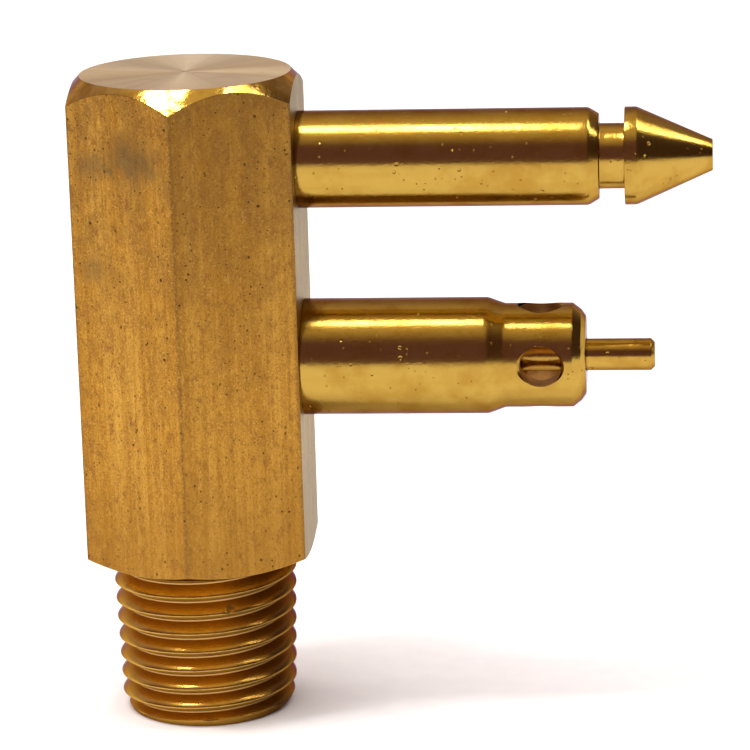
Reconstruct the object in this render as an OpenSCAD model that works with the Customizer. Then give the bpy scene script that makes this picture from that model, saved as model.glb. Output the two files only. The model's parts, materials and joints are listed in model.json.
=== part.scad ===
// Two-prong brass tank connector: a hexagonal body that screws into a tank with a tapered pipe thread,
// a solid guide pin above, and below it a tubular fuel prong with a sprung check valve.
// Origin: on the thread axis, at the open end of the thread. +Z up the thread axis, +X along the prongs.

/* [Body] */
// Hexagon across flats
hex_af = 15.875; // [15:0.125:19]
// Underside of the hexagon above the thread end
hex_bottom_z = 11.65; // [11:0.05:13]
// Top face of the body
body_top_z = 47.2; // [46:0.1:52]
// Diameter of the flat turned face on top
top_face_d = 15.1; // [13:0.05:15.5]
// Angle of the top chamfer below the top face, degrees
top_chamfer_angle = 45; // [30:1:50]
// Diameter of the flat turned face under the hexagon
under_face_d = 15.4; // [14.5:0.1:15.8]
// Angle of the chamfer under the hexagon, degrees
under_chamfer_angle = 24; // [15:1:35]

/* [Pipe thread] */
// Threads per inch of the tapered pipe thread
threads_per_inch = 18; // [18, 14]
// Root diameter at the small end
thread_root_d = 11; // [10.8:0.1:11.6]
// Height of the thread ridge above the root
thread_height = 0.94; // [0.6:0.01:1]
// Diameter of the chamfered open end
thread_end_d = 11.7; // [11.2:0.1:12.2]
// Angle of the end chamfer from the axis, degrees
thread_chamfer_angle = 30; // [20:1:45]

/* [Fuel gallery] */
// Diameter of the gallery from the thread end
gallery_d = 6.6; // [5:0.1:7]
// Depth of the gallery's full diameter
gallery_depth = 20; // [14:0.5:21]
// Diameter of the narrower passage from the gallery up to the fuel prong
passage_d = 4.8; // [4:0.1:5]

/* [Guide pin] */
// Height of the guide pin's axis
guide_z = 40.75; // [40:0.05:43]
// Guide pin diameter
guide_d = 6.95; // [6:0.05:7.5]
// End of the full diameter before the latch groove's chamfer
guide_straight_x = 28.6; // [24:0.1:32]
// Diameter at the bottom of the latch groove
latch_groove_d = 4.65; // [4:0.05:5]
// Width of the latch groove
latch_groove_w = 1.8; // [1.2:0.1:2.4]
// Width of the land in front of the groove
latch_land_w = 0.85; // [0.5:0.05:1.5]
// Length of the cone
guide_cone_len = 5.35; // [4:0.05:7]
// Diameter of the cone's flat tip
guide_tip_d = 2.2; // [1.5:0.1:3]

/* [Fuel prong] */
// Height of the fuel prong's axis
prong_z = 26.25; // [25.5:0.05:27]
// Fuel prong diameter
prong_d = 8.4; // [8:0.05:9]
// Nose diameter
nose_d = 7.5; // [7:0.05:7.8]
// Start of the taper from the prong diameter to the nose diameter
taper_start_x = 21.2; // [20.5:0.1:22]
// End of the taper
taper_end_x = 22.45; // [22.1:0.05:23]
// Face of the nose
nose_x = 28.25; // [28:0.05:29]
// Length and depth of the nose's bevelled edge
nose_edge = 0.95; // [0.3:0.05:1.1]
// Share of the edge's length left where its bevel steepens, half way down
nose_edge_mid = 0.35; // [0.2:0.05:0.5]
// Distance of the cross ports' axes along the prong
port_x = 25.05; // [24.5:0.05:25.5]
// Cross port diameter
port_d = 3; // [2.5:0.1:3.4]
// Diameter of the countersink around each port, on the crown of the nose
port_rim_d = 3.4; // [3.1:0.1:4.2]

/* [Valve] */
// Valve stem diameter
stem_d = 2.3; // [2:0.05:2.6]
// Tip of the valve stem, outside the nose
stem_tip_x = 33.15; // [31.5:0.05:34]
// Poppet diameter
poppet_d = 4.5; // [4.2:0.1:4.8]
// Spring wire diameter
wire_d = 0.4; // [0.3:0.05:0.5]
// Number of active spring coils
spring_turns = 7; // [5:1:9]

/* [Hidden] */

$fn = 96;
cut = 1;                 // how far a cutting tool overshoots the solid it cuts
brass = "#c69a45";
bright_brass = "#d8b060";
steel = "#b9bcc0";
rubber = "#26262a";

// Body
flat_x = hex_af / 2;
corner_r = flat_x / cos(30);
envelope_r = corner_r + cut;

// Pipe thread: 60 degree ridges on a cone that widens by 1 in 16 on the diameter
pitch = 25.4 / threads_per_inch;
taper = 1 / 32;
thread_root_r = thread_root_d / 2;
root_flat = 0.1;
ridge_foot_half = (pitch - root_flat) / 2;
ridge_crest_half = ridge_foot_half - thread_height * tan(30);
ridge_embed = 0.15;      // how deep the ridge's foot sits inside the root cone
ridge_least = 0.05;      // least radial size of the ridge where the end chamfer cuts it away
ridge_steps = 36;        // steps per turn of the helix
ridge_start_z = ridge_foot_half;
ridge_end_z = hex_bottom_z + pitch / 2;
gallery_rim = 0.3;       // width and depth of the chamfer at the gallery's mouth
passage_overlap = 1.2;   // how far the passage runs past the fuel prong's axis
drill_tip_angle = 59;    // half of a twist drill's point angle

// Sockets and shanks
socket_floor_x = 1;
prong_shank_d = 7.2;
prong_shank_x = 3.2;
guide_shank_d = 5;
guide_shank_x = 1.4;
guide_chamfer_len = 0.75;
guide_chamfer_depth = 0.45;
seal_groove_x = 5.6;
seal_groove_w = 1.1;
seal_groove_d = 5.9;

// Bore of the fuel prong, from its rear end to the nose
bore_d = 5.2;
seat_start_x = 19.5;
seat_end_x = 20.3;
throat_d = 3.6;
throat_end_x = 27;
stem_clearance = 0.1;    // on the diameter, where the stem slides in a hole
nose_hole_d = stem_d + stem_clearance;
ring_groove_x = 4.1;
ring_groove_w = 0.5;
ring_groove_depth = 0.2;

// Valve
stem_tail_x = 5.2;
stem_tip_chamfer = 0.27;
seat_clearance = 0.1;    // on the diameter, of the spring seat in the bore
poppet_back_x = 16.6;
poppet_face_x = 19;
poppet_nose_d = 3.2;
poppet_step_x = 18.2;
poppet_seal_wire_d = 0.7;
spring_d = 4.4;
spring_front_x = poppet_back_x;
spring_back_x = 6.6;
spring_steps = 24;       // steps per coil
spring_sides = 8;        // sides of the wire
closed_coil_pitch = 1.08; // pitch of a closed coil over the wire diameter
seat_disc_x = 5;
seat_disc_len = spring_back_x - seat_disc_x;
flow_hole_d = 1.1;
flow_hole_ring_d = 3.7;
flow_holes = 4;
ring_gap_angle = 40;
retaining_ring_w = 0.6;  // radial width of the retaining ring

// Places its children, which point along +Z, so that they point along +X from x at height z
module along_x(x, z) {
    translate([x, 0, z]) rotate([0, 90, 0]) children();
}

// Round bar along +X between two distances, at height z
module bar_x(x0, x1, d, z) {
    along_x(x0, z) cylinder(d = d, h = x1 - x0);
}

// Turned piece along +X at height z; points are [distance along X, radius]
module turned_x(points, z) {
    along_x(0, z) rotate_extrude() polygon([for (p = points) [p[1], p[0]]]);
}

// Solid swept along a list of rings, each a list of points in the same order
module swept(rings) {
    n = len(rings[0]);
    last = len(rings) - 1;
    sides = [for (i = [0 : last - 1], j = [0 : n - 1])
        let (k = (j + 1) % n, a = i * n, b = (i + 1) * n)
        each [[a + j, b + j, b + k], [a + j, b + k, a + k]]];
    first_cap = [for (j = [0 : n - 1]) j];
    last_cap = [for (j = [n - 1 : -1 : 0]) last * n + j];
    polyhedron(points = [for (r = rings) each r], faces = concat([first_cap], sides, [last_cap]));
}

// Body

module hexagonal_bar() {
    top_drop = (envelope_r - top_face_d / 2) * tan(top_chamfer_angle);
    under_rise = (envelope_r - under_face_d / 2) * tan(under_chamfer_angle);
    intersection() {
        translate([0, 0, hex_bottom_z])
            rotate([0, 0, 30]) cylinder(r = corner_r, h = body_top_z - hex_bottom_z, $fn = 6);
        rotate_extrude() polygon([
            [0, hex_bottom_z], [under_face_d / 2, hex_bottom_z], [envelope_r, hex_bottom_z + under_rise],
            [envelope_r, body_top_z - top_drop], [top_face_d / 2, body_top_z], [0, body_top_z]]);
    }
}

// Radius that the end chamfer allows at height z
function chamfer_r(z) = thread_end_d / 2 + z * tan(thread_chamfer_angle);

// Section of the thread ridge with its middle at height z, as [radius, height] points
function ridge_section(z) =
    let (root = thread_root_r + z * taper, inner = root - ridge_embed)
    let (low = max(inner + ridge_least, min(root + thread_height, chamfer_r(z - ridge_crest_half))))
    let (high = max(inner + ridge_least, min(root + thread_height, chamfer_r(z + ridge_crest_half))))
    [[inner, z + ridge_foot_half], [root, z + ridge_foot_half], [high, z + ridge_crest_half],
     [low, z - ridge_crest_half], [root, z - ridge_foot_half], [inner, z - ridge_foot_half]];

module thread_ridge() {
    steps = floor((ridge_end_z - ridge_start_z) / pitch * ridge_steps);
    swept([for (i = [0 : steps])
        let (turn = 360 * i / ridge_steps, z = ridge_start_z + pitch * i / ridge_steps)
        [for (p = ridge_section(z)) [p[0] * cos(turn), p[0] * sin(turn), p[1]]]]);
}

module threaded_end() {
    core_h = hex_bottom_z + cut;
    cylinder(r1 = thread_root_r, r2 = thread_root_r + core_h * taper, h = core_h);
    thread_ridge();
}

module gallery() {
    translate([0, 0, -cut]) cylinder(d = gallery_d, h = gallery_depth + cut);
    translate([0, 0, -cut])
        cylinder(r1 = gallery_d / 2 + gallery_rim + cut, r2 = gallery_d / 2, h = gallery_rim + cut);
    translate([0, 0, gallery_depth])
        cylinder(d1 = gallery_d, d2 = 0, h = gallery_d / 2 / tan(drill_tip_angle));
    translate([0, 0, gallery_depth]) cylinder(d = passage_d, h = prong_z + passage_overlap - gallery_depth);
}

module body() {
    color(brass) difference() {
        union() {
            hexagonal_bar();
            threaded_end();
        }
        gallery();
        bar_x(socket_floor_x, flat_x + cut, prong_shank_d, prong_z);
        bar_x(guide_shank_x, flat_x + cut, guide_shank_d, guide_z);
    }
}

// Guide pin: shank, full diameter, chamfer, latch groove, land, cone and flat tip

module guide_pin() {
    groove_start = guide_straight_x + guide_chamfer_len;
    groove_end = groove_start + latch_groove_w;
    land_end = groove_end + latch_land_w;
    r = guide_d / 2;
    color(bright_brass) turned_x([
        [guide_shank_x, 0], [guide_shank_x, guide_shank_d / 2], [flat_x, guide_shank_d / 2], [flat_x, r],
        [guide_straight_x, r], [groove_start, r - guide_chamfer_depth], [groove_start, latch_groove_d / 2],
        [groove_end, latch_groove_d / 2], [groove_end, r], [land_end, r],
        [land_end + guide_cone_len, guide_tip_d / 2], [land_end + guide_cone_len, 0]], guide_z);
}

// Fuel prong

module prong_outside() {
    nose_r = nose_d / 2;
    turned_x([
        [prong_shank_x, 0], [prong_shank_x, prong_shank_d / 2], [flat_x, prong_shank_d / 2],
        [flat_x, prong_d / 2], [taper_start_x, prong_d / 2], [taper_end_x, nose_r], [nose_x - nose_edge, nose_r],
        [nose_x - nose_edge_mid * nose_edge, nose_r - nose_edge / 2], [nose_x, nose_r - nose_edge],
        [nose_x, 0]], prong_z);
}

module prong_bore() {
    bar_x(prong_shank_x - cut, seat_start_x, bore_d, prong_z);
    along_x(seat_start_x, prong_z) cylinder(d1 = bore_d, d2 = throat_d, h = seat_end_x - seat_start_x);
    bar_x(seat_end_x, throat_end_x, throat_d, prong_z);
    bar_x(throat_end_x, nose_x + cut, nose_hole_d, prong_z);
    bar_x(ring_groove_x, ring_groove_x + ring_groove_w, bore_d + 2 * ring_groove_depth, prong_z);
}

// Two through drillings at right angles make four ports, each countersunk from outside
module cross_ports() {
    sink = (port_rim_d - port_d) / 2;
    for (quarter = [0 : 3])
        translate([port_x, 0, prong_z]) rotate([90 * quarter, 0, 0]) {
            cylinder(d = port_d, h = nose_d);
            translate([0, 0, nose_d / 2 - sink])
                cylinder(d1 = port_d, d2 = port_rim_d + 2 * cut, h = sink + cut);
        }
}

module fuel_prong() {
    color(bright_brass) difference() {
        prong_outside();
        prong_bore();
        cross_ports();
        difference() {
            bar_x(seal_groove_x, seal_groove_x + seal_groove_w, prong_shank_d + cut, prong_z);
            bar_x(seal_groove_x - cut, seal_groove_x + seal_groove_w + cut, seal_groove_d, prong_z);
        }
    }
}

// Ring of round wire around the prong's axis
module o_ring(x, inner_d, wire) {
    along_x(x, prong_z) rotate_extrude() translate([inner_d / 2 + wire / 2, 0]) circle(d = wire);
}

module shank_seal() {
    ring_d = (prong_shank_d - seal_groove_d) / 2;
    color(rubber) o_ring(seal_groove_x + seal_groove_w / 2, seal_groove_d, ring_d);
}

// Valve

module valve_stem() {
    r = stem_d / 2;
    color(bright_brass) turned_x([
        [stem_tail_x, 0], [stem_tail_x, r], [stem_tip_x - stem_tip_chamfer, r],
        [stem_tip_x, r - stem_tip_chamfer], [stem_tip_x, 0]], prong_z);
}

module valve_poppet() {
    color(brass) difference() {
        turned_x([
            [poppet_back_x, 0], [poppet_back_x, poppet_d / 2], [poppet_step_x, poppet_d / 2],
            [poppet_step_x, poppet_nose_d / 2], [poppet_face_x, poppet_nose_d / 2],
            [poppet_face_x, 0]], prong_z);
        bar_x(poppet_back_x - cut, poppet_face_x + cut, stem_d, prong_z);
    }
}

module poppet_seal() {
    color(rubber) o_ring(poppet_step_x + poppet_seal_wire_d / 2, poppet_nose_d, poppet_seal_wire_d);
}

module valve_spring() {
    coil_r = (spring_d - wire_d) / 2;
    x0 = spring_back_x + wire_d / 2;
    x1 = spring_front_x - wire_d / 2;
    steps = (spring_turns + 2) * spring_steps;
    // the first and last coil lie closed, one wire apart, and the others share the rest
    closed_rise = wire_d * closed_coil_pitch;
    open_rise = (x1 - x0 - 2 * closed_rise) / spring_turns;
    color(steel) swept([for (i = [0 : steps])
        let (t = i / spring_steps, turn = 360 * t)
        let (x = x0 + min(t, 1) * closed_rise + max(0, min(t - 1, spring_turns)) * open_rise
            + max(0, t - 1 - spring_turns) * closed_rise)
        [for (j = [spring_sides - 1 : -1 : 0])
            let (a = 360 * j / spring_sides, r = coil_r + wire_d / 2 * cos(a))
            [x + wire_d / 2 * sin(a), r * cos(turn), prong_z + r * sin(turn)]]]);
}

module spring_seat() {
    color(brass) difference() {
        bar_x(seat_disc_x, spring_back_x, bore_d - seat_clearance, prong_z);
        bar_x(seat_disc_x - cut, spring_back_x + cut, stem_d + stem_clearance, prong_z);
        for (i = [0 : flow_holes - 1])
            along_x(seat_disc_x - cut, prong_z) rotate([0, 0, 45 + 360 * i / flow_holes])
                translate([flow_hole_ring_d / 2, 0, 0])
                    cylinder(d = flow_hole_d, h = seat_disc_len + 2 * cut);
    }
}

module retaining_ring() {
    outer_d = bore_d + 2 * ring_groove_depth;
    color(steel) along_x(ring_groove_x, prong_z) rotate([0, 0, ring_gap_angle / 2])
        rotate_extrude(angle = 360 - ring_gap_angle)
            translate([outer_d / 2 - retaining_ring_w, 0]) square([retaining_ring_w, ring_groove_w]);
}

body();
guide_pin();
fuel_prong();
shank_seal();
valve_stem();
valve_poppet();
poppet_seal();
valve_spring();
spring_seat();
retaining_ring();
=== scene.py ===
"""Two-prong brass tank connector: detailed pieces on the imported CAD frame, their materials and a studio.

Lengths below are in millimetres. They become metres where meshes, lights and the camera are made.
"""
import json
import math

import bmesh
import bpy
import numpy as np
from mathutils import Matrix, Vector


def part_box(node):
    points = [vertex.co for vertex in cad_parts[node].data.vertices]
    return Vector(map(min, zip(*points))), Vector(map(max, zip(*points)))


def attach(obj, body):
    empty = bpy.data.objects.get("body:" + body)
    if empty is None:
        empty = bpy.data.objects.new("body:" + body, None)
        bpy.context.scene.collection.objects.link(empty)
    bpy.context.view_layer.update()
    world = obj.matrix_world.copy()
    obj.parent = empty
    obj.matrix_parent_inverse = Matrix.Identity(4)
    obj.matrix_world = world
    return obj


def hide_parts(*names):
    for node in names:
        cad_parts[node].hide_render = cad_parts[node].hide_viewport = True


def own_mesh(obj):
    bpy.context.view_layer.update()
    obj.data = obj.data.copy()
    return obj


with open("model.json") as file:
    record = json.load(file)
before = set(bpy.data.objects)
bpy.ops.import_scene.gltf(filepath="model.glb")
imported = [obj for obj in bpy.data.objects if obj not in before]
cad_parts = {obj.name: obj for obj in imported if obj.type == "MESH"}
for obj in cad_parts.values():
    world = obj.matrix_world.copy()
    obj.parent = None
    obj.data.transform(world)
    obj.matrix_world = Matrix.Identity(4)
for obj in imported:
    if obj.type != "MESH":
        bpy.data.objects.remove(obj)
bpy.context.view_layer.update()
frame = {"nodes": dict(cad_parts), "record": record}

MM = 0.001
MERGE_M = 1e-7


def mount(name):
    """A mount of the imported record: its place in millimetres and its dimensions."""
    found = next(m for m in frame["record"]["mounts"] if m["name"] == name)
    return [p / MM for p in found["pos_m"]], found["dims"]


def box_mm(node):
    """The lowest and highest corner of a CAD node, in millimetres."""
    low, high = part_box(node)
    return [v / MM for v in low], [v / MM for v in high]


# ---------------------------------------------------------------- sizes

# hexagonal bar: its turned faces, their chamfers and the radius of its edges
BODY_HIGH = box_mm("body")[1]
APOTHEM = BODY_HIGH[0]
TOP_Z = BODY_HIGH[2]
HEX_BOTTOM_Z = 11.65
TOP_FACE_R = 7.55
TOP_CHAMFER = math.radians(45)
UNDER_FACE_R = 7.7
UNDER_CHAMFER = math.radians(24)
BAR_EDGE_R = 0.1

# pipe thread: 18 turns per inch on a cone that widens by 1 in 16 on the diameter
PITCH = 25.4 / 18
TAPER = 1 / 32
ROOT_R = 5.5
THREAD_H = 0.94
THREAD_PHASE_Z = 0.62
END_R = 5.85
END_CHAMFER = math.radians(30)
NICK_ANGLE = math.radians(-66.5)
NICK_Z = 8.95
NICK_REACH = (0.327, 0.3)
NICK_DEPTH = 0.42

# drilled gallery, its mouth, and the narrower passage up to the fuel prong
GALLERY_R = mount("gallery")[1]["r_mm"]
GALLERY_DEPTH = 20
GALLERY_RIM = 0.3
DRILL_TIP = math.radians(59)
PASSAGE_R = 2.4
PASSAGE_OVERLAP = 1.2
OVERSHOOT = 1

# guide pin, from its shank to the latch groove and the cone
GUIDE_Z = mount("guide_pin")[0][2]
GUIDE_R = mount("guide_pin")[1]["r_mm"]
GUIDE_TIP_X = box_mm("guide_pin")[1][0]
GUIDE_SHANK_X = box_mm("guide_pin")[0][0]
GUIDE_SHANK_R = 2.5
CONE_LENGTH = 5.35
LAND_WIDTH = 0.85
GROOVE_WIDTH = 1.8
GROOVE_R = 2.325
CHAMFER_LENGTH = 0.75
CHAMFER_DEPTH = 0.45
TIP_R = 1.1

# fuel prong, from its shank to the nose with the cross ports
PRONG_Z = mount("fuel_prong")[0][2]
PRONG_R = mount("fuel_prong")[1]["r_mm"]
NOSE_X = box_mm("fuel_prong")[1][0]
SHANK_X = box_mm("fuel_prong")[0][0]
SHANK_R = 3.6
SOCKET_FLOOR_X = 1
NOSE_R = 3.75
NOSE_EDGE = 0.95
NOSE_EDGE_MID = (0.35, 0.5)
TAPER_START_X = 21.2
TAPER_END_X = 22.45
BORE_R = 2.6
SEAT_X = (19.5, 20.3)
THROAT_R = 1.8
THROAT_END_X = 27
PORT_X = 25.05
PORT_R = 1.5
PORT_RIM_R = 1.7
SEAL_GROOVE_X = (5.6, 6.7)
SEAL_GROOVE_R = 2.95
RING_GROOVE_X = (4.1, 4.6)
RING_GROOVE_R = 2.8
HOLE_RIM = 0.12

# valve stem and spring
STEM_R = 1.15
STEM_CLEARANCE = 0.05
STEM_CHAMFER = 0.27
STEM_TIP_X = box_mm("valve_stem")[1][0]
STEM_TAIL_X = box_mm("valve_stem")[0][0]
SPRING_X = (box_mm("valve_spring")[0][0], box_mm("valve_spring")[1][0])
SPRING_D = 4.4
SPRING_WIRE_D = 0.4
SPRING_TURNS = 7
CLOSED_COIL_RISE = 1.08 * SPRING_WIRE_D


# ---------------------------------------------------------------- mesh tools

def bend(a, corner, b, steps):
    """Points of the quadratic curve that leaves a towards the corner and reaches b from it."""
    shares = [k / steps for k in range(steps + 1)]
    return [a * (1 - s) ** 2 + corner * 2 * s * (1 - s) + b * s * s for s in shares]


def rounded(points, steps=5, longest=None):
    """Polyline through (u, v, fillet) points with its corners rounded, and long runs cut into short ones."""
    pts = [Vector((p[0], p[1])) for p in points]
    line = []
    for i, point in enumerate(pts):
        fillet = points[i][2] if len(points[i]) > 2 else 0
        if not fillet or i in (0, len(pts) - 1):
            line.append(point)
            continue
        to_a, to_b = pts[i - 1] - point, pts[i + 1] - point
        reach = fillet / math.tan(to_a.angle(to_b) / 2)
        reach = min(reach, 0.45 * to_a.length, 0.45 * to_b.length)
        a, b = point + to_a.normalized() * reach, point + to_b.normalized() * reach
        line += bend(a, point, b, steps)
    if longest is None:
        return [tuple(p) for p in line]
    fine = [line[0]]
    for a, b in zip(line, line[1:]):
        count = max(1, math.ceil((b - a).length / longest))
        fine += [a.lerp(b, (k + 1) / count) for k in range(count)]
    return [tuple(p) for p in fine]


def new_object(name, data):
    obj = bpy.data.objects.new(name, data)
    bpy.context.scene.collection.objects.link(obj)
    return obj


def ring_mesh(name, rings, closed, lead=None):
    """Object skinned over rings of points in millimetres, all rings with the same number of points.

    lead gives the ring whose first point follows the last point of a ring, where that is another ring.
    """
    rings = np.asarray(rings, float) * MM
    count, around = rings.shape[:2]
    lead = lead or (lambda ring: ring)
    faces = []
    for ring in range(count if closed else count - 1):
        following = (ring + 1) % count
        a, b = ring * around, following * around
        faces += [(a + j, a + j + 1, b + j + 1, b + j) for j in range(around - 1)]
        faces.append((a + around - 1, lead(ring) * around, lead(following) * around, b + around - 1))
    if not closed:
        faces += [tuple(range(around)), tuple(range((count - 1) * around, count * around))]
    mesh = bpy.data.meshes.new(name)
    mesh.from_pydata(rings.reshape(-1, 3).tolist(), [], faces)
    work = bmesh.new()
    work.from_mesh(mesh)
    bmesh.ops.remove_doubles(work, verts=work.verts, dist=MERGE_M)
    bmesh.ops.dissolve_degenerate(work, edges=work.edges, dist=MERGE_M)
    bmesh.ops.recalc_face_normals(work, faces=work.faces)
    work.to_mesh(mesh)
    work.free()
    return new_object(name, mesh)


def turned(name, outline, height, segments=256, closed=False):
    """Lathe-turned piece along +X at a height; outline is (x, radius) points."""
    angles = np.linspace(0, 2 * math.pi, segments, endpoint=False)
    rings = [[(x, r * math.cos(a), height + r * math.sin(a)) for a in angles] for x, r in outline]
    return ring_mesh(name, rings, closed)


def cutter(radius_a, radius_b, length, at, axis, segments=128):
    """Round cutting tool, a cylinder or cone from the point at along axis."""
    work = bmesh.new()
    bmesh.ops.create_cone(
        work, cap_ends=True, segments=segments, radius1=radius_a * MM, radius2=max(radius_b, 1e-4) * MM,
        depth=length * MM)
    turn = Vector((0, 0, 1)).rotation_difference(Vector(axis)).to_matrix().to_4x4()
    place = Matrix.Translation(Vector(at) * MM) @ turn @ Matrix.Translation((0, 0, length * MM / 2))
    bmesh.ops.transform(work, matrix=place, verts=work.verts)
    mesh = bpy.data.meshes.new("cutter")
    work.to_mesh(mesh)
    work.free()
    return new_object("cutter", mesh)


def cut(obj, tools):
    """Cuts the tools out of obj one after another, and removes each tool."""
    for tool in tools:
        step = obj.modifiers.new("cut", "BOOLEAN")
        step.operation = "DIFFERENCE"
        step.solver = "EXACT"
        step.object = tool
        mesh = bpy.data.meshes.new_from_object(obj.evaluated_get(bpy.context.evaluated_depsgraph_get()))
        obj.modifiers.clear()
        obj.data = mesh
        bpy.data.objects.remove(tool)


def smooth(obj, angle=32):
    """Smooth shading, with edges sharper than the angle in degrees left sharp."""
    obj.data.polygons.foreach_set("use_smooth", [True] * len(obj.data.polygons))
    obj.data.set_sharp_from_angle(angle=math.radians(angle))


def join(name, parts):
    """One object from several, keeping their material slots."""
    work = bmesh.new()
    materials = []
    for part in parts:
        start = len(work.faces)
        work.from_mesh(part.data)
        work.faces.ensure_lookup_table()
        offset = len(materials)
        for face in work.faces[start:]:
            face.material_index += offset
        materials += list(part.data.materials)
        bpy.data.objects.remove(part)
    mesh = bpy.data.meshes.new(name)
    work.to_mesh(mesh)
    work.free()
    for material in materials:
        mesh.materials.append(material)
    return new_object(name, mesh)


# ---------------------------------------------------------------- materials

# tint of brass seen at a grazing angle: drawn bar, polished turned surfaces, and the lathe-faced top
DRAWN_GRAZING_TINT = (0.59, 0.68, 0.68, 1)
POLISHED_GRAZING_TINT = (0.32, 0.25, 0.40, 1)
FACED_GRAZING_TINT = (0.92, 0.84, 0.72, 1)

# heights at which the bar starts to darken towards its foot, and to tarnish towards its top
FOOT_FADE_Z = 24
TOP_FADE_Z = HEX_BOTTOM_Z + 9

# tarnish smudges on the bar: place, reach along each axis, strength
SMUDGES = (
    ((-3.0, -7.43, 42.2), (2.4, 2.4, 1.6), 0.6),
    ((-6.0, -5.7, 41.5), (1.6, 1.6, 1.1), 0.5),
    ((-6.4, -5.5, 34.0), (1.1, 1.1, 0.9), 0.35))


class Shader:
    """A Principled material with short calls for its node network. Lengths in it are in millimetres."""

    def __init__(self, name, **fixed):
        self.material = bpy.data.materials.new(name)
        self.material.use_nodes = True
        self.tree = self.material.node_tree
        self.surface = self.tree.nodes["Principled BSDF"]
        for socket, value in fixed.items():
            self.surface.inputs[socket.replace("_", " ")].default_value = value
        place = self.node("ShaderNodeTexCoord").outputs["Object"]
        self.mm = self.vector("SCALE", place, scale=1 / MM)
        split = self.node("ShaderNodeSeparateXYZ", {0: self.mm})
        self.x, self.y, self.z = split.outputs

    def node(self, kind, inputs=None, **settings):
        made = self.tree.nodes.new(kind)
        for key, value in settings.items():
            setattr(made, key, value)
        for key, value in (inputs or {}).items():
            if isinstance(value, bpy.types.NodeSocket):
                self.tree.links.new(value, made.inputs[key])
            else:
                made.inputs[key].default_value = value
        return made

    def math(self, operation, a, b=0.0, c=0.0, clamp=False):
        made = self.node("ShaderNodeMath", {0: a, 1: b, 2: c}, operation=operation, use_clamp=clamp)
        return made.outputs[0]

    def vector(self, operation, a, b=None, scale=None):
        inputs = {0: a}
        if b is not None:
            inputs[1] = b
        if scale is not None:
            inputs["Scale"] = scale
        made = self.node("ShaderNodeVectorMath", inputs, operation=operation)
        return made.outputs["Value" if operation in ("LENGTH", "DISTANCE", "DOT_PRODUCT") else "Vector"]

    def stretched(self, x, y, z):
        """Coordinates with so many features per millimetre along each axis."""
        return self.vector("MULTIPLY", self.mm, (x, y, z))

    def noise(self, place, scale=1.0, detail=3.0, roughness=0.5):
        inputs = {"Vector": place, "Scale": scale, "Detail": detail, "Roughness": roughness}
        return self.node("ShaderNodeTexNoise", inputs).outputs[0]

    def steps(self, value, low, high, to_low=0.0, to_high=1.0):
        """Value mapped smoothly from low..high to to_low..to_high."""
        inputs = {"Value": value, "From Min": low, "From Max": high, "To Min": to_low, "To Max": to_high}
        return self.node("ShaderNodeMapRange", inputs, interpolation_type="SMOOTHSTEP").outputs[0]

    def mix(self, factor, a, b):
        """Colour a where factor is 0 and b where it is 1."""
        made = self.node("ShaderNodeMix", data_type="RGBA")
        for socket, value in ((made.inputs[0], factor), (made.inputs[6], a), (made.inputs[7], b)):
            if isinstance(value, bpy.types.NodeSocket):
                self.tree.links.new(value, socket)
            else:
                socket.default_value = (*value, 1) if isinstance(value, tuple) else value
        return made.outputs[2]

    def specks(self, per_mm, radius, share, shift=0.0):
        """1 inside small round specks and 0 elsewhere; share is the part of the cells that holds one."""
        place = self.vector("ADD", self.mm, (shift, shift, shift))
        warp = self.noise(place, scale=2.3 * per_mm, detail=2)
        cells = self.node("ShaderNodeTexVoronoi", {"Vector": place, "Scale": per_mm})
        ragged = self.math("MULTIPLY", warp, 0.35 * radius * per_mm)
        distance = self.math("ADD", cells.outputs["Distance"], ragged)
        pick = self.node("ShaderNodeSeparateColor", {0: cells.outputs["Color"]}).outputs[0]
        present = self.math("GREATER_THAN", pick, 1 - share)
        size = self.math("MULTIPLY", present, self.steps(pick, 1 - share, 1.0, 0.6, 1.15))
        inside = self.math("SUBTRACT", self.math("MULTIPLY", size, radius * per_mm), distance)
        return self.steps(inside, 0.0, 0.45 * radius * per_mm)

    def bump(self, height, depth, normal=None):
        """Surface normal for a height of 0..1 that stands for depth in millimetres."""
        inputs = {"Height": height, "Distance": depth * MM, "Strength": 1.0}
        if normal is not None:
            inputs["Normal"] = normal
        return self.node("ShaderNodeBump", inputs).outputs[0]

    def set(self, **links):
        for socket, value in links.items():
            self.tree.links.new(value, self.surface.inputs[socket.replace("_", " ")])
        return self.material


def edge_wear(s, reach):
    """1 on the vertical edges of the bar, falling to 0 at a distance of about reach millimetres."""
    half, root3 = 0.5, math.sqrt(3) / 2
    across = [s.math("ABSOLUTE", s.vector("DOT_PRODUCT", s.mm, way))
              for way in ((1, 0, 0), (half, root3, 0), (half, -root3, 0))]
    total = s.math("ADD", s.math("ADD", across[0], across[1]), across[2])
    most = s.math("MAXIMUM", s.math("MAXIMUM", across[0], across[1]), across[2])
    least = s.math("MINIMUM", s.math("MINIMUM", across[0], across[1]), across[2])
    second = s.math("SUBTRACT", s.math("SUBTRACT", total, most), least)
    return s.steps(second, APOTHEM - reach * root3, APOTHEM)


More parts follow.
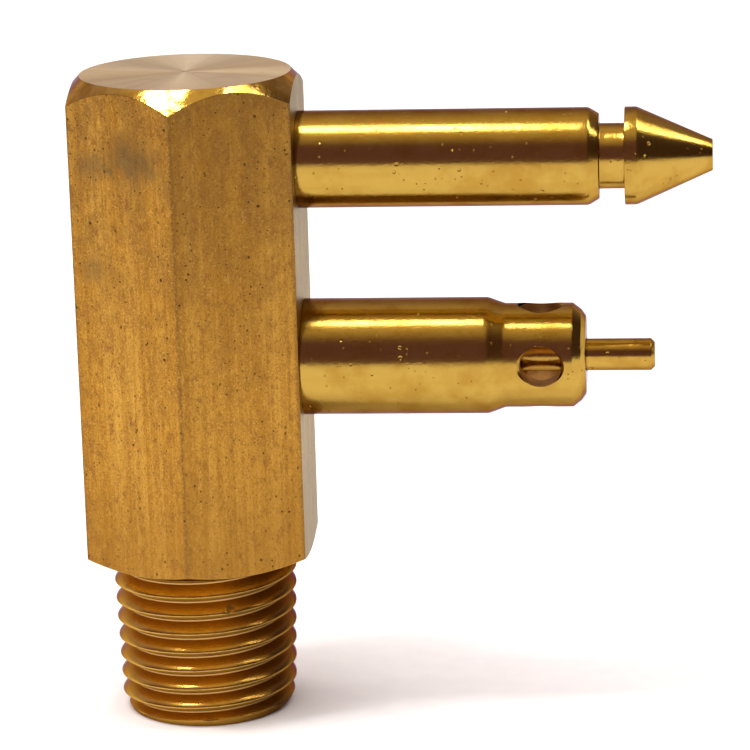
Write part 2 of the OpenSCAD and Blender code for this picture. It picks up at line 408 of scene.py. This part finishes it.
def drawn_brass():
    """Cold-drawn bar: lengthwise streaks, mottled tarnish, dark specks and painted shade on the prong side.
    """
    s = Shader(
        "drawn_brass", Metallic=1.0, Anisotropic=0.4, Anisotropic_Rotation=0.25,
        Specular_Tint=DRAWN_GRAZING_TINT)
    broad = s.noise(s.stretched(0.6, 0.6, 0.025), detail=3)
    fine = s.noise(s.stretched(3.4, 3.4, 0.06), detail=4, roughness=0.6)
    hair = s.noise(s.stretched(12, 12, 0.14), detail=3)
    mottle = s.noise(s.stretched(0.55, 0.55, 0.33), detail=6, roughness=0.66)
    blotch = s.noise(s.stretched(1.9, 1.9, 1.1), detail=4, roughness=0.7)
    grain = s.noise(s.mm, scale=6.5, detail=3, roughness=0.75)
    height = s.steps(s.z, TOP_FADE_Z, TOP_Z)

    colour = s.mix(s.steps(broad, 0.35, 0.65), (0.48, 0.236, 0.03), (0.608, 0.328, 0.053))
    colour = s.mix(s.steps(fine, 0.42, 0.72, 0, 0.6), colour, (0.392, 0.176, 0.024))
    colour = s.mix(s.steps(fine, 0.45, 0.25, 0, 0.45), colour, (0.688, 0.408, 0.088))
    colour = s.mix(s.steps(mottle, 0.45, 0.68, 0, 0.5), colour, (0.384, 0.192, 0.032))
    tarnish = s.math("MULTIPLY", height, s.steps(mottle, 0.35, 0.6, 0.05, 0.75))
    colour = s.mix(tarnish, colour, (0.32, 0.164, 0.034))
    colour = s.mix(s.steps(blotch, 0.5, 0.68, 0, 0.75), colour, (0.288, 0.132, 0.028))
    colour = s.mix(s.steps(blotch, 0.45, 0.28, 0, 0.5), colour, (0.688, 0.4, 0.072))
    colour = s.mix(s.steps(grain, 0.52, 0.68, 0, 0.8), colour, (0.2, 0.088, 0.028))
    colour = s.mix(s.steps(grain, 0.44, 0.30, 0, 0.6), colour, (0.76, 0.48, 0.128))
    colour = s.mix(s.steps(s.z, FOOT_FADE_Z, HEX_BOTTOM_Z, 0, 0.5), colour, (0.272, 0.124, 0.02))

    # painted shade: the faces on the prong side (+X) are darkened, more towards the top
    shaded_prong_side = s.steps(s.x, -0.15, 0.15)
    painted_shade = s.math("MULTIPLY", shaded_prong_side, s.steps(s.z, FOOT_FADE_Z, TOP_Z, 0.19, 0.45))
    colour = s.mix(painted_shade, colour, (0.20, 0.095, 0.02))

    for place, size, strength in SMUDGES:
        reach = s.vector("LENGTH", s.vector("DIVIDE", s.vector("SUBTRACT", s.mm, place), size))
        ragged = s.math("ADD", reach, s.math("MULTIPLY", s.math("SUBTRACT", blotch, 0.5), 3.0))
        ragged = s.math("ADD", ragged, s.math("MULTIPLY", s.math("SUBTRACT", grain, 0.5), 1.6))
        colour = s.mix(s.steps(ragged, 1.3, 0.2, 0, strength), colour, (0.104, 0.08, 0.042))

    wear = edge_wear(s, 0.3)
    worn = s.math("MULTIPLY", wear, s.steps(grain, 0.35, 0.6, 0.2, 0.8))
    colour = s.mix(worn, colour, (0.20, 0.10, 0.026))

    crowd = s.math("ADD", s.steps(mottle, 0.4, 0.6, 0.3, 1.0), s.math("MULTIPLY", height, 0.4))
    crowd = s.math("ADD", crowd, s.math("MULTIPLY", wear, 0.9))
    dark = s.math("MAXIMUM", s.specks(2.6, 0.095, 0.6), s.specks(1.5, 0.15, 0.35, 7.7))
    dark = s.math("MULTIPLY", dark, crowd, clamp=True)
    colour = s.mix(s.math("MULTIPLY", dark, 0.8), colour, (0.072, 0.032, 0.011))

    rough = s.steps(fine, 0.3, 0.7, 0.33, 0.42)
    rough = s.math("ADD", rough, s.math("MULTIPLY", dark, 0.25))
    normal = s.bump(hair, 0.005)
    normal = s.bump(fine, 0.018, normal)
    pits = s.math("SUBTRACT", s.math("MULTIPLY", grain, 0.8), dark)
    normal = s.bump(pits, 0.02, normal)
    tangent = s.node("ShaderNodeTangent", direction_type="RADIAL", axis="Z").outputs[0]
    return s.set(Base_Color=colour, Roughness=rough, Normal=normal, Tangent=tangent)


def radius_z(s):
    """Distance from the vertical axis, in millimetres."""
    return s.vector("LENGTH", s.vector("MULTIPLY", s.mm, (1, 1, 0)))


def faced_brass():
    """Lathe-faced top: concentric tool marks, faint spokes of painted sheen and a small dark centre."""
    s = Shader("faced_brass", Metallic=1.0, Anisotropic=0.75, Specular_Tint=FACED_GRAZING_TINT)
    radius = radius_z(s)
    along = s.node("ShaderNodeCombineXYZ", {0: radius}).outputs[0]
    marks = s.noise(along, scale=9.0, detail=4, roughness=0.75)
    coarse = s.noise(along, scale=1.6, detail=2)
    angle = s.math("ARCTAN2", s.y, s.x)
    ray = s.node("ShaderNodeCombineXYZ", {0: s.math("COSINE", angle), 1: s.math("SINE", angle)}).outputs[0]
    # painted sheen: lighter spokes painted into the colour by angle around the axis
    painted_spoke_sheen = s.noise(ray, scale=1.7, detail=3, roughness=0.6)
    haze = s.noise(s.mm, scale=0.5, detail=5)
    colour = s.mix(s.steps(painted_spoke_sheen, 0.35, 0.68), (0.475, 0.36, 0.19), (0.62, 0.505, 0.305))
    colour = s.mix(s.steps(haze, 0.4, 0.75, 0, 0.4), colour, (0.448, 0.304, 0.16))
    colour = s.mix(s.math("MULTIPLY", s.specks(1.6, 0.06, 0.3, 3.1), 0.6), colour, (0.08, 0.048, 0.024))
    colour = s.mix(s.steps(radius, 0.3, 0.1, 0, 0.7), colour, (0.176, 0.104, 0.048))
    rough = s.steps(marks, 0.3, 0.7, 0.30, 0.42)
    normal = s.bump(marks, 0.006)
    normal = s.bump(coarse, 0.012, normal)
    tangent = s.node("ShaderNodeTangent", direction_type="RADIAL", axis="Z").outputs[0]
    return s.set(Base_Color=colour, Roughness=rough, Normal=normal, Tangent=tangent)


def chamfer_brass():
    """Bright turned chamfer: faint tool rings on a slightly uneven cone."""
    s = Shader("chamfer_brass", Metallic=1.0, Specular_Tint=POLISHED_GRAZING_TINT)
    along = s.node("ShaderNodeCombineXYZ", {0: s.z}).outputs[0]
    marks = s.noise(along, scale=11.0, detail=3, roughness=0.7)
    drift = s.noise(s.mm, scale=0.8, detail=4)
    colour = s.mix(s.steps(drift, 0.35, 0.7), (0.592, 0.376, 0.08), (0.464, 0.256, 0.04))
    rough = s.steps(drift, 0.3, 0.7, 0.11, 0.17)
    normal = s.bump(marks, 0.004)
    normal = s.bump(drift, 0.06, normal)
    return s.set(Base_Color=colour, Roughness=rough, Normal=normal)


def thread_brass():
    """Cut thread: darker in the roots, with painted shade on the prong side and painted highlights on crests
    and root flats.
    """
    s = Shader("thread_brass", Metallic=1.0, Specular_Tint=POLISHED_GRAZING_TINT)
    root = s.math("MULTIPLY_ADD", s.z, TAPER, ROOT_R)
    depth = s.math("DIVIDE", s.math("SUBTRACT", radius_z(s), root), THREAD_H)
    patch = s.noise(s.mm, scale=0.6, detail=5, roughness=0.6)
    chatter = s.noise(s.stretched(2.2, 2.2, 14), detail=3, roughness=0.6)
    uneven = s.math("ADD", depth, s.math("MULTIPLY", s.math("SUBTRACT", patch, 0.5), 0.5))
    colour = s.mix(s.steps(uneven, 0.0, 0.9), (0.50, 0.258, 0.036), (0.58, 0.34, 0.06))
    colour = s.mix(s.steps(patch, 0.5, 0.8, 0, 0.45), colour, (0.272, 0.12, 0.016))
    facing = s.node("ShaderNodeSeparateXYZ", {0: s.node("ShaderNodeTexCoord").outputs["Normal"]}).outputs[2]
    # painted highlight: light line on the crests
    colour = s.mix(s.steps(depth, 0.93, 0.97, 0, 0.75), colour, (0.688, 0.464, 0.192))
    # painted highlight: light line on the root flats
    colour = s.mix(s.steps(depth, 0.05, 0.0, 0, 0.6), colour, (0.64, 0.4, 0.16))
    # painted shade: the thread darkened on its prong side (+X)
    colour = s.mix(s.steps(s.x, 1.0, 5.2, 0, 0.7), colour, (0.13, 0.056, 0.015))
    dirt = s.specks(1.6, 0.08, 0.3, 5.3)
    colour = s.mix(s.math("MULTIPLY", dirt, 0.6), colour, (0.04, 0.02, 0.008))
    rough = s.steps(uneven, 0.0, 0.9, 0.40, 0.22)
    rough = s.math("ADD", rough, s.steps(facing, -0.3, -0.7, 0, 0.35))
    normal = s.bump(chatter, 0.006)
    normal = s.bump(patch, 0.02, normal)
    return s.set(Base_Color=colour, Roughness=rough, Normal=normal)


def bored_brass():
    """Drilled and bored holes: dull, with fine tool marks."""
    s = Shader("bored_brass", Metallic=1.0)
    marks = s.noise(s.stretched(0.4, 0.4, 7), detail=3, roughness=0.7)
    film = s.noise(s.mm, scale=0.7, detail=4)
    colour = s.mix(s.steps(film, 0.35, 0.7), (0.672, 0.416, 0.152), (0.496, 0.28, 0.088))
    rough = s.steps(marks, 0.3, 0.7, 0.42, 0.58)
    return s.set(Base_Color=colour, Roughness=rough, Normal=s.bump(marks, 0.02))


def turned_brass(name, light, shade, ring_depth):
    """Polished turned brass along X: fine rings, faint tarnish, and small nicks from use."""
    s = Shader(name, Metallic=1.0, Anisotropic=0.5, Specular_Tint=POLISHED_GRAZING_TINT)
    along = s.node("ShaderNodeCombineXYZ", {0: s.x}).outputs[0]
    rings = s.noise(along, scale=6.0, detail=5, roughness=0.7)
    lanes = s.noise(s.stretched(0.12, 1.1, 1.1), detail=3)
    film = s.noise(s.mm, scale=0.45, detail=5, roughness=0.6)
    grain = s.noise(s.mm, scale=5.0, detail=3, roughness=0.7)
    wobble = s.noise(s.stretched(0.9, 1.7, 1.7), detail=4, roughness=0.6)
    colour = s.mix(s.steps(film, 0.4, 0.7), light, shade)
    colour = s.mix(s.steps(lanes, 0.45, 0.75, 0, 0.5), colour, shade)
    colour = s.mix(s.steps(grain, 0.52, 0.75, 0, 0.3), colour, shade)
    nicks = s.math("MAXIMUM", s.specks(0.9, 0.17, 0.8, 11.3), s.specks(2.2, 0.085, 0.5, 2.9))
    colour = s.mix(s.math("MULTIPLY", s.specks(1.6, 0.07, 0.25, 17.1), 0.65), colour, (0.096, 0.048, 0.016))
    rough = s.steps(film, 0.3, 0.75, 0.12, 0.17)
    rough = s.math("ADD", rough, s.steps(rings, 0.4, 0.7, 0, 0.03))
    normal = s.bump(rings, ring_depth)
    normal = s.bump(wobble, 0.004, normal)
    peel = s.noise(s.stretched(1.6, 2.6, 2.6), detail=3, roughness=0.65)
    normal = s.bump(peel, 0.006, normal)
    normal = s.bump(grain, 0.006, normal)
    normal = s.bump(s.math("SUBTRACT", 1.0, nicks), 0.04, normal)
    tangent = s.node("ShaderNodeTangent", direction_type="RADIAL", axis="X").outputs[0]
    return s.set(Base_Color=colour, Roughness=rough, Normal=normal, Tangent=tangent)


def spring_steel():
    """Drawn stainless wire."""
    s = Shader("spring_steel", Metallic=1.0)
    drawn = s.noise(s.mm, scale=4.0, detail=4)
    colour = s.mix(s.steps(drawn, 0.35, 0.7), (0.56, 0.56, 0.57), (0.40, 0.40, 0.41))
    rough = s.steps(drawn, 0.3, 0.7, 0.18, 0.32)
    return s.set(Base_Color=colour, Roughness=rough, Normal=s.bump(drawn, 0.004))


def seal_rubber():
    """Moulded matt black rubber."""
    s = Shader("seal_rubber", Metallic=0.0)
    grain = s.noise(s.mm, scale=9.0, detail=4)
    colour = s.mix(s.steps(grain, 0.35, 0.7), (0.016, 0.016, 0.018), (0.035, 0.034, 0.034))
    rough = s.steps(grain, 0.3, 0.7, 0.45, 0.62)
    return s.set(Base_Color=colour, Roughness=rough, Normal=s.bump(grain, 0.01))


def floor_paper():
    """White backdrop paper with a faint fibre."""
    s = Shader("floor_paper", Roughness=0.75)
    fibre = s.noise(s.mm, scale=0.6, detail=6)
    colour = s.mix(s.steps(fibre, 0.3, 0.7), (0.86, 0.86, 0.86), (0.885, 0.885, 0.88))
    return s.set(Base_Color=colour, Normal=s.bump(fibre, 0.01))


# ---------------------------------------------------------------- body

def bar_radius(angle):
    """Distance from the axis to the outline of the hexagonal bar, whose edges are slightly rounded."""
    delta = abs((math.degrees(angle) + 30) % 60 - 30)
    inner = APOTHEM - BAR_EDGE_R
    tangent = math.degrees(math.atan(inner * math.tan(math.radians(30)) / APOTHEM))
    if delta <= tangent:
        return APOTHEM / math.cos(math.radians(delta))
    centre = inner / math.cos(math.radians(30))
    off = math.radians(30 - delta)
    return centre * math.cos(off) + math.sqrt(BAR_EDGE_R ** 2 - (centre * math.sin(off)) ** 2)


def bar_angles():
    """Angles around the bar, dense where its edges are rounded."""
    edge = list(np.linspace(-30.72, -29.28, 25))
    face = list(np.linspace(-28.9, 28.9, 30))
    return [math.radians(60 * side + a) for side in range(6) for a in edge + face]


def hexagonal_bar(materials):
    """The bar with its turned chamfers, top face, gallery and sockets."""
    axis_gap = 0.02
    columns = []
    for angle in bar_angles():
        r = bar_radius(angle)
        low = HEX_BOTTOM_Z + (r - UNDER_FACE_R) * math.tan(UNDER_CHAMFER)
        high = TOP_Z - (r - TOP_FACE_R) * math.tan(TOP_CHAMFER)
        outline = rounded([
            (axis_gap, HEX_BOTTOM_Z), (UNDER_FACE_R, HEX_BOTTOM_Z, 0.1), (r, low, 0.06), (r, high, 0.05),
            (TOP_FACE_R, TOP_Z, 0.07), (axis_gap, TOP_Z)])
        columns.append([(p * math.cos(angle), p * math.sin(angle), z) for p, z in outline])
    bar = ring_mesh("hexagonal_bar", np.swapaxes(np.array(columns), 0, 1), closed=False)
    up, out = (0, 0, 1), (1, 0, 0)
    tip_length = GALLERY_R / math.tan(DRILL_TIP)
    passage_length = PRONG_Z + PASSAGE_OVERLAP - GALLERY_DEPTH
    socket_end = APOTHEM + OVERSHOOT
    cut(bar, [
        cutter(GALLERY_R, GALLERY_R, GALLERY_DEPTH + OVERSHOOT, (0, 0, -OVERSHOOT), up),
        cutter(GALLERY_R, 0, tip_length, (0, 0, GALLERY_DEPTH - 0.001), up),
        cutter(PASSAGE_R, PASSAGE_R, passage_length, (0, 0, GALLERY_DEPTH), up),
        cutter(SHANK_R, SHANK_R, socket_end - SOCKET_FLOOR_X, (SOCKET_FLOOR_X, 0, PRONG_Z), out),
        cutter(GUIDE_SHANK_R, GUIDE_SHANK_R, socket_end - GUIDE_SHANK_X, (GUIDE_SHANK_X, 0, GUIDE_Z), out),
    ])
    for material in materials:
        bar.data.materials.append(material)
    drawn, faced, chamfer, bored = range(4)
    skin, end_skin, rim = 0.6, 0.02, 0.03
    level, tilted = 0.97, 0.12
    for face in bar.data.polygons:
        normal, centre = face.normal, face.center / MM
        radius = math.hypot(centre.x, centre.y)
        at_an_end = centre.z > TOP_Z - end_skin or centre.z < HEX_BOTTOM_Z + end_skin
        if radius < APOTHEM - skin and not at_an_end:
            face.material_index = bored
        elif centre.z > TOP_Z - rim and normal.z > level:
            face.material_index = faced
        elif abs(normal.z) > tilted:
            face.material_index = chamfer
        else:
            face.material_index = drawn
    return bar


# one pitch of the thread upwards from a root, as shares of the pitch and of the ridge's height:
# the lower flank and crest, the start, corner and end of the worn shoulder, and the upper flank
RIDGE_START = (
    (0.0, 0.0), (0.035, 0.0), (0.05, 0.02), (0.2, 0.41), (0.37, 0.85), (0.41, 0.935), (0.425, 0.945))
RIDGE_SHOULDER = ((0.465, 0.9375), (0.535, 0.92), (0.68, 0.635))
RIDGE_END = ((0.72, 0.549), (0.83, 0.30), (0.95, 0.02), (0.965, 0.0))
THREAD_SHAPE = (*RIDGE_START, *[tuple(p) for p in bend(*map(Vector, RIDGE_SHOULDER), steps=7)], *RIDGE_END)


def thread_radius(angle, z):
    """Radius of the threaded end: taper, ridge, end chamfer and one small nick."""
    turn = (z - THREAD_PHASE_Z) / PITCH - angle / (2 * math.pi) + 0.5
    shares, heights = zip(*THREAD_SHAPE, (1.0, 0.0))
    ridge = float(np.interp(turn % 1, shares, heights))
    along = (angle - NICK_ANGLE) * (ROOT_R + THREAD_H) / NICK_REACH[0]
    off = math.hypot(along, (z - NICK_Z) / NICK_REACH[1])
    ridge *= 1 - NICK_DEPTH * math.exp(-off * off)
    return min(ROOT_R + z * TAPER + THREAD_H * ridge, END_R + z * math.tan(END_CHAMFER))


def threaded_end(thread, bored):
    """Threaded foot as one closed tube: outer thread, end face and gallery wall."""
    top = HEX_BOTTOM_Z + 0.25
    angles = np.linspace(-math.pi, math.pi, 360, endpoint=False)
    turns = range(-2, math.ceil(top / PITCH) + 2)
    rows = [(k + p - 0.5) * PITCH + THREAD_PHASE_Z for k in turns for p, _ in THREAD_SHAPE]
    rings = []
    for row in rows:
        ring = []
        for a in angles:
            z = min(max(row + PITCH * a / (2 * math.pi), 0), top)
            r = thread_radius(a, z)
            ring.append((r * math.cos(a), r * math.sin(a), z))
        rings.append(ring)
    inside = [(GALLERY_R, top), (GALLERY_R, GALLERY_RIM), (GALLERY_R + GALLERY_RIM, 0)]
    rings += [[(r * math.cos(a), r * math.sin(a), z) for a in angles] for r, z in inside]

    def one_turn_on(ring):
        """The ring that the helix reaches after a turn; the gallery's rings close on themselves."""
        return ring if ring >= len(rows) else min(ring + len(THREAD_SHAPE), len(rows) - 1)

    end = ring_mesh("threaded_end", rings, closed=True, lead=one_turn_on)
    end.data.materials.append(thread)
    end.data.materials.append(bored)
    for face in end.data.polygons:
        face.material_index = int(math.hypot(face.center.x, face.center.y) < (GALLERY_R + 0.1) * MM)
    return end


def body_piece(bored):
    """Hexagonal bar and threaded end in one piece."""
    bar = hexagonal_bar([drawn_brass(), faced_brass(), chamfer_brass(), bored])
    end = threaded_end(thread_brass(), bored)
    piece = join("body_detailed", [bar, end])
    smooth(piece, 24)
    return piece


# ---------------------------------------------------------------- prongs and valve

def guide_pin_piece(material):
    """Solid upper prong with its latch groove and long cone."""
    cone_x = GUIDE_TIP_X - CONE_LENGTH
    groove_end = cone_x - LAND_WIDTH
    groove_start = groove_end - GROOVE_WIDTH
    outline = rounded([
        (GUIDE_SHANK_X, 0), (GUIDE_SHANK_X, GUIDE_SHANK_R, 0.2),
        (APOTHEM, GUIDE_SHANK_R), (APOTHEM, GUIDE_R, 0.04),
        (groove_start - CHAMFER_LENGTH, GUIDE_R, 0.7), (groove_start, GUIDE_R - CHAMFER_DEPTH, 0.1),
        (groove_start, GROOVE_R, 0.1), (groove_end, GROOVE_R, 0.1), (groove_end, GUIDE_R, 0.05),
        (cone_x, GUIDE_R, 0.5), (GUIDE_TIP_X, TIP_R, 0.08), (GUIDE_TIP_X, 0)], longest=0.5)
    piece = turned("guide_pin_detailed", outline, GUIDE_Z)
    piece.data.materials.append(material)
    smooth(piece)
    return piece


def fuel_prong_piece(material, inside):
    """Tubular lower prong: outside from the shank to the nose, then the bore back to the shank."""
    hole = STEM_R + STEM_CLEARANCE
    mid_back, mid_down = (share * NOSE_EDGE for share in NOSE_EDGE_MID)
    outline = rounded([
        (SHANK_X, BORE_R), (SHANK_X, SHANK_R, 0.15),
        (SEAL_GROOVE_X[0], SHANK_R), (SEAL_GROOVE_X[0], SEAL_GROOVE_R),
        (SEAL_GROOVE_X[1], SEAL_GROOVE_R), (SEAL_GROOVE_X[1], SHANK_R),
        (APOTHEM, SHANK_R), (APOTHEM, PRONG_R, 0.04),
        (TAPER_START_X, PRONG_R, 1.0), (TAPER_END_X, NOSE_R, 0.8),
        (NOSE_X - NOSE_EDGE, NOSE_R, 0.12), (NOSE_X - mid_back, NOSE_R - mid_down, 0.5),
        (NOSE_X, NOSE_R - NOSE_EDGE, 0.3), (NOSE_X, hole + HOLE_RIM, 0.05), (NOSE_X - HOLE_RIM, hole),
        (THROAT_END_X, hole), (THROAT_END_X, THROAT_R), (SEAT_X[1], THROAT_R), (SEAT_X[0], BORE_R),
        (RING_GROOVE_X[1], BORE_R), (RING_GROOVE_X[1], RING_GROOVE_R),
        (RING_GROOVE_X[0], RING_GROOVE_R), (RING_GROOVE_X[0], BORE_R)], steps=8, longest=0.14)
    piece = turned("fuel_prong_detailed", outline, PRONG_Z, closed=True)
    sink = PORT_RIM_R - PORT_R
    centre = Vector((PORT_X, 0, PRONG_Z))
    tools = []
    for axis in ((0, -1, 0), (0, 0, 1), (0, 1, 0), (0, 0, -1)):
        rim = centre + Vector(axis) * (NOSE_R - sink)
        tools.append(cutter(PORT_R, PORT_R, NOSE_R + OVERSHOOT, centre, axis))
        tools.append(cutter(PORT_R, PORT_RIM_R + 0.5, sink + 0.5, rim, axis))
    cut(piece, tools)
    piece.data.materials.append(material)
    piece.data.materials.append(inside)
    for face in piece.data.polygons:
        middle = face.center / MM
        deep = math.hypot(middle.y, middle.z - PRONG_Z) < NOSE_R - sink
        if deep and SEAT_X[0] < middle.x < NOSE_X - NOSE_EDGE:
            face.material_index = 1
    smooth(piece)
    return piece


def valve_stem_piece(material):
    """Rod through the valve, with a chamfered tip."""
    outline = rounded([
        (STEM_TAIL_X, 0), (STEM_TAIL_X, STEM_R, 0.15), (STEM_TIP_X - STEM_CHAMFER, STEM_R, 0.1),
        (STEM_TIP_X, STEM_R - STEM_CHAMFER, 0.08), (STEM_TIP_X, 0)], longest=0.5)
    piece = turned("valve_stem_detailed", outline, PRONG_Z, segments=128)
    piece.data.materials.append(material)
    smooth(piece)
    return piece


def valve_spring_piece(material):
    """Compression spring with its first and last coil closed."""
    wire_r = SPRING_WIRE_D / 2
    coil_r = SPRING_D / 2 - wire_r
    start, end = SPRING_X[0] + wire_r, SPRING_X[1] - wire_r
    open_rise = (end - start - 2 * CLOSED_COIL_RISE) / SPRING_TURNS
    around = np.linspace(0, 2 * math.pi, 16, endpoint=False)
    wire = [(wire_r * math.sin(a), coil_r + wire_r * math.cos(a)) for a in around]
    turns = SPRING_TURNS + 2
    rings = []
    for t in np.linspace(0, turns, 48 * turns + 1):
        open_turns = min(max(t - 1, 0), SPRING_TURNS)
        x = start + open_turns * open_rise + (t - open_turns) * CLOSED_COIL_RISE
        across, up = math.cos(2 * math.pi * t), math.sin(2 * math.pi * t)
        rings.append([(x + along, r * across, PRONG_Z + r * up) for along, r in wire])
    piece = ring_mesh("valve_spring_detailed", rings, closed=False)
    piece.data.materials.append(material)
    smooth(piece, 60)
    return piece


def finish_node(node, material):
    """Gives a CAD node that keeps its shape its material."""
    obj = frame["nodes"][node]
    for place in obj.material_slots:
        place.material = material


def build_object():
    """Every piece in its material, riding on its body."""
    bored = bored_brass()
    prong_brass = turned_brass("prong_brass", (0.45, 0.29, 0.056), (0.375, 0.215, 0.034), ring_depth=0.0016)
    valve_brass = turned_brass("valve_brass", (0.46, 0.285, 0.054), (0.36, 0.2, 0.032), ring_depth=0.003)
    pieces = (
        (body_piece(bored), "body", "housing", "body_brass"),
        (guide_pin_piece(prong_brass), "guide_pin", "housing", "prong_brass"),
        (fuel_prong_piece(prong_brass, bored), "fuel_prong", "housing", "prong_brass"),
        (valve_stem_piece(valve_brass), "valve_stem", "valve", "valve_brass"),
    )
    for piece, node, moves_with, finish in pieces:
        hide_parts(node)
        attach(piece, moves_with)
    steel, rubber = spring_steel(), seal_rubber()
    spring = valve_spring_piece(steel)
    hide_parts("valve_spring")
    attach(spring, "housing")
    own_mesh(spring)
    for node, material in (
            ("shank_seal", rubber), ("poppet_seal", rubber), ("valve_poppet", valve_brass),
            ("spring_seat", valve_brass), ("retaining_ring", steel)):
        finish_node(node, material)


# ---------------------------------------------------------------- studio

VIEW_AZIMUTH = math.radians(5.315)
VIEW_ELEVATION = math.radians(14.547)
VIEW_ROLL = math.radians(-1.674)
VIEW_TARGET = (12.94, 0, 24.81)
VIEW_DISTANCE = 263.05
LENS = 174.59
LAMP_HEIGHT = 600


def camera():
    """Camera at the photograph's viewing angle."""
    a, e, roll = VIEW_AZIMUTH, VIEW_ELEVATION, VIEW_ROLL
    level = Vector((-math.sin(a), math.cos(a), 0))
    ahead = level * math.cos(e) - Vector((0, 0, math.sin(e)))
    up = level * math.sin(e) + Vector((0, 0, math.cos(e)))
    right = Vector((math.cos(a), math.sin(a), 0))
    right, up = right * math.cos(roll) + up * math.sin(roll), up * math.cos(roll) - right * math.sin(roll)
    data = bpy.data.cameras.new("camera")
    data.sensor_width = 36
    data.lens = LENS
    data.clip_start = 0.01
    data.clip_end = 20
    obj = new_object("camera", data)
    place = Matrix((right, up, -ahead)).transposed().to_4x4()
    place.translation = (Vector(VIEW_TARGET) - ahead * VIEW_DISTANCE) * MM
    obj.matrix_world = place
    bpy.context.scene.camera = obj


def softbox(name, x_range, y_range, radiance):
    """Rectangular lamp that faces straight down and looks radiance bright."""
    data = bpy.data.lights.new(name, "AREA")
    data.shape = "RECTANGLE"
    data.size = (x_range[1] - x_range[0]) * MM
    data.size_y = (y_range[1] - y_range[0]) * MM
    data.energy = radiance * math.pi * data.size * data.size_y
    lamp = new_object(name, data)
    lamp.location = (sum(x_range) / 2 * MM, sum(y_range) / 2 * MM, LAMP_HEIGHT * MM)


def lights():
    """Four soft lamps overhead and a broad fill that the brass doesn't mirror."""
    softbox("main_softbox", (-62, -3), (-115, 24), 19)
    softbox("long_softbox", (235, 720), (-30, 70), 9)
    softbox("side_panel", (235, 470), (70, 210), 4.5)
    softbox("left_lamp", (-240, -88), (-135, -60), 38)
    data = bpy.data.lights.new("floor_fill", "SUN")
    data.energy = 2.05
    data.angle = math.radians(60)
    fill = new_object("floor_fill", data)
    fill.rotation_euler = (math.radians(12), math.radians(-8), 0)
    fill.visible_glossy = False


def room():
    """Dim room: dark in front and to the right, violet behind, warm overhead, white low down behind."""
    world = bpy.data.worlds.new("room")
    bpy.context.scene.world = world
    world.use_nodes = True
    nodes, links = world.node_tree.nodes, world.node_tree.links
    direction = nodes.new("ShaderNodeTexCoord")
    split = nodes.new("ShaderNodeSeparateXYZ")
    links.new(direction.outputs["Generated"], split.inputs[0])
    rightward, ahead, upward = split.outputs

    def ramp(value, low, high):
        made = nodes.new("ShaderNodeMapRange")
        made.interpolation_type = "SMOOTHSTEP"
        links.new(value, made.inputs["Value"])
        made.inputs["From Min"].default_value = low
        made.inputs["From Max"].default_value = high
        return made.outputs[0]

    def blend(factor, a, b):
        made = nodes.new("ShaderNodeMix")
        made.data_type = "RGBA"
        links.new(factor, made.inputs[0])
        for socket, value in ((made.inputs[6], a), (made.inputs[7], b)):
            if isinstance(value, tuple):
                socket.default_value = (*value, 1)
            else:
                links.new(value, socket)
        return made.outputs[2]

    behind = ramp(ahead, -0.1, 0.3)
    low_behind = nodes.new("ShaderNodeMath")
    low_behind.operation = "MULTIPLY"
    links.new(behind, low_behind.inputs[0])
    links.new(ramp(upward, 0.42, 0.27), low_behind.inputs[1])
    colour = blend(behind, (0.19, 0.095, 0.18), (0.55, 0.44, 0.60))
    colour = blend(ramp(upward, 0.62, 1.0), colour, (0.87, 0.70, 0.45))
    colour = blend(ramp(rightward, 0.25, 0.75), colour, (0.075, 0.044, 0.05))
    colour = blend(low_behind.outputs[0], colour, (1.18, 1.10, 1.04))
    links.new(colour, nodes["Background"].inputs["Color"])


def floor():
    """Sheet of paper under the object, which reaches far back."""
    left, right, front, back = (v * MM for v in (-900, 900, -600, 1200))
    corners = [(left, front, 0), (right, front, 0), (right, back, 0), (left, back, 0)]
    mesh = bpy.data.meshes.new("floor")
    mesh.from_pydata(corners, [], [(0, 1, 2, 3)])
    mesh.materials.append(floor_paper())
    new_object("floor", mesh)


build_object()
floor()
lights()
room()
camera()
bpy.context.scene.view_settings.view_transform = "Standard"
